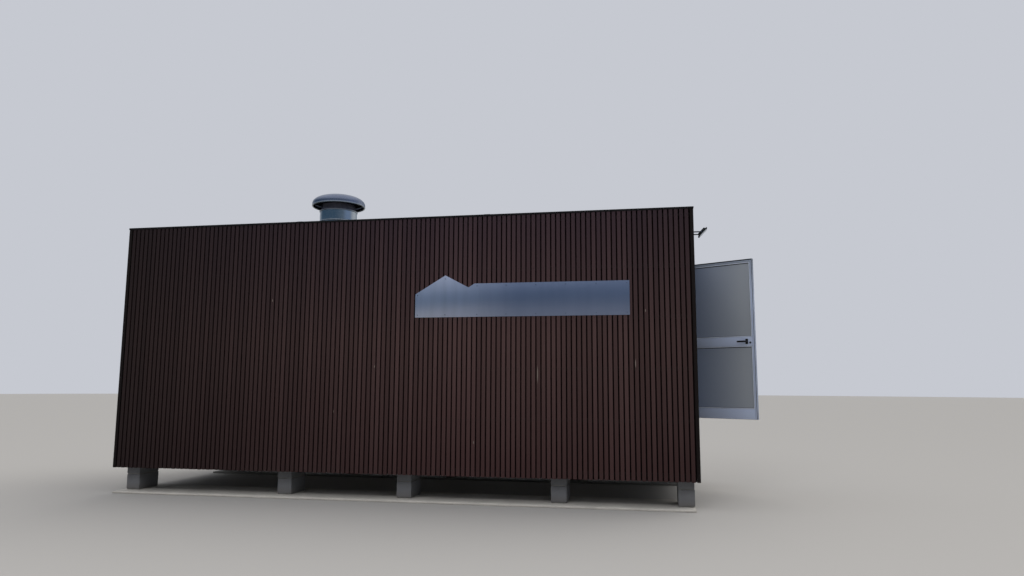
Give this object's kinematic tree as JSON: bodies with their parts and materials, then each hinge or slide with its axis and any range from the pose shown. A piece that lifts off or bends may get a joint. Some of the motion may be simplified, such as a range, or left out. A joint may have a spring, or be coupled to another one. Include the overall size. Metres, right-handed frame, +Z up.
{
  "type": "slat-clad hydro powerhouse",
  "caption": "Raised flat-roofed cabin for a small hydro plant, clad in vertical slats, on block piers, with a roof vent, name plate, floodlight and an open end door.",
  "frame": {"origin": "ground level, at the middle of the front footing's underside, 0.35 m behind the front cladding's face", "axes": "+X along the front to the right, +Y from the front to the back, +Z up"},
  "size_m": [8.4915, 3.1, 4.297],
  "materials": {
    "concrete": "cast concrete, floated",
    "blockwork": "grey concrete blocks with mortar joints",
    "shell_panel": "painted panel, black weather membrane outside",
    "roof_membrane": "mineral-faced roofing felt",
    "stained_slats": "dark brown stained softwood, weathered",
    "dark_flashing": "dark brown coated sheet",
    "door_frame": "satin anodised",
    "door_leaf": "light grey powder coat",
    "black_fitting": "satin black",
    "plate_steel": "brushed, slightly weathered",
    "galvanised": "galvanised sheet, dull",
    "lamp_black": "black die-cast housing"
  },
  "bodies": {
    "cabin": {"front_footing": "concrete", "back_footing": "concrete", "front_pier_1": "blockwork", "front_pier_2": "blockwork", "front_pier_3": "blockwork", "front_pier_4": "blockwork", "front_pier_5": "blockwork", "back_pier_1": "blockwork", "back_pier_2": "blockwork", "back_pier_3": "blockwork", "back_pier_4": "blockwork", "back_pier_5": "blockwork", "floor_slab": "concrete", "front_wall": "shell_panel", "back_wall": "shell_panel", "left_wall": "shell_panel", "right_wall_front": "shell_panel", "right_wall_back": "shell_panel", "right_wall_over_door": "shell_panel", "roof_deck": "roof_membrane", "front_cladding": "stained_slats", "back_cladding": "stained_slats", "left_cladding": "stained_slats", "right_cladding_front": "stained_slats", "right_cladding_back": "stained_slats", "right_cladding_over_door": "stained_slats", "right_cladding_under_door": "stained_slats", "front_flashing": "dark_flashing", "back_flashing": "dark_flashing", "left_flashing": "dark_flashing", "right_flashing": "dark_flashing", "door_jamb_hinge_side": "door_frame", "door_jamb_lock_side": "door_frame", "door_head": "door_frame", "door_sill": "door_frame", "hinge_top_frame": "door_frame", "hinge_bottom_frame": "door_frame", "name_plate": "plate_steel", "vent_curb": "galvanised", "vent_neck": "galvanised", "vent_cap": "galvanised", "lamp_bracket": "lamp_black"},
    "door": {"door_leaf": "door_leaf", "hinge_top_leaf": "door_frame", "hinge_bottom_leaf": "door_frame", "lock_plate_inside": "black_fitting", "lock_plate_outside": "black_fitting"},
    "door_lever": {"lever_inside": "black_fitting", "lever_outside": "black_fitting"},
    "lamp": {"lamp_housing": "lamp_black"}
  },
  "joints": [
    {"name": "door_hinge", "type": "hinge", "parent": "cabin", "child": "door", "pos_m": [3.809, 1.806, 2.175], "axis": [0, 0, 1], "range_deg": [-60, 60]},
    {"name": "lever_turn", "type": "hinge", "parent": "door", "child": "door_lever", "pos_m": [4.5783, 1.32547, 2.035], "axis": [-0.5, -0.866, 0], "range_deg": [0, 40], "stiffness_Nm_per_rad": 1.5, "springref_deg": -28.65},
    {"name": "lamp_tilt", "type": "hinge", "parent": "cabin", "child": "lamp", "pos_m": [3.9, -0.1, 3.285], "axis": [0, 1, 0], "range_deg": [-35, 35]}
  ]
}
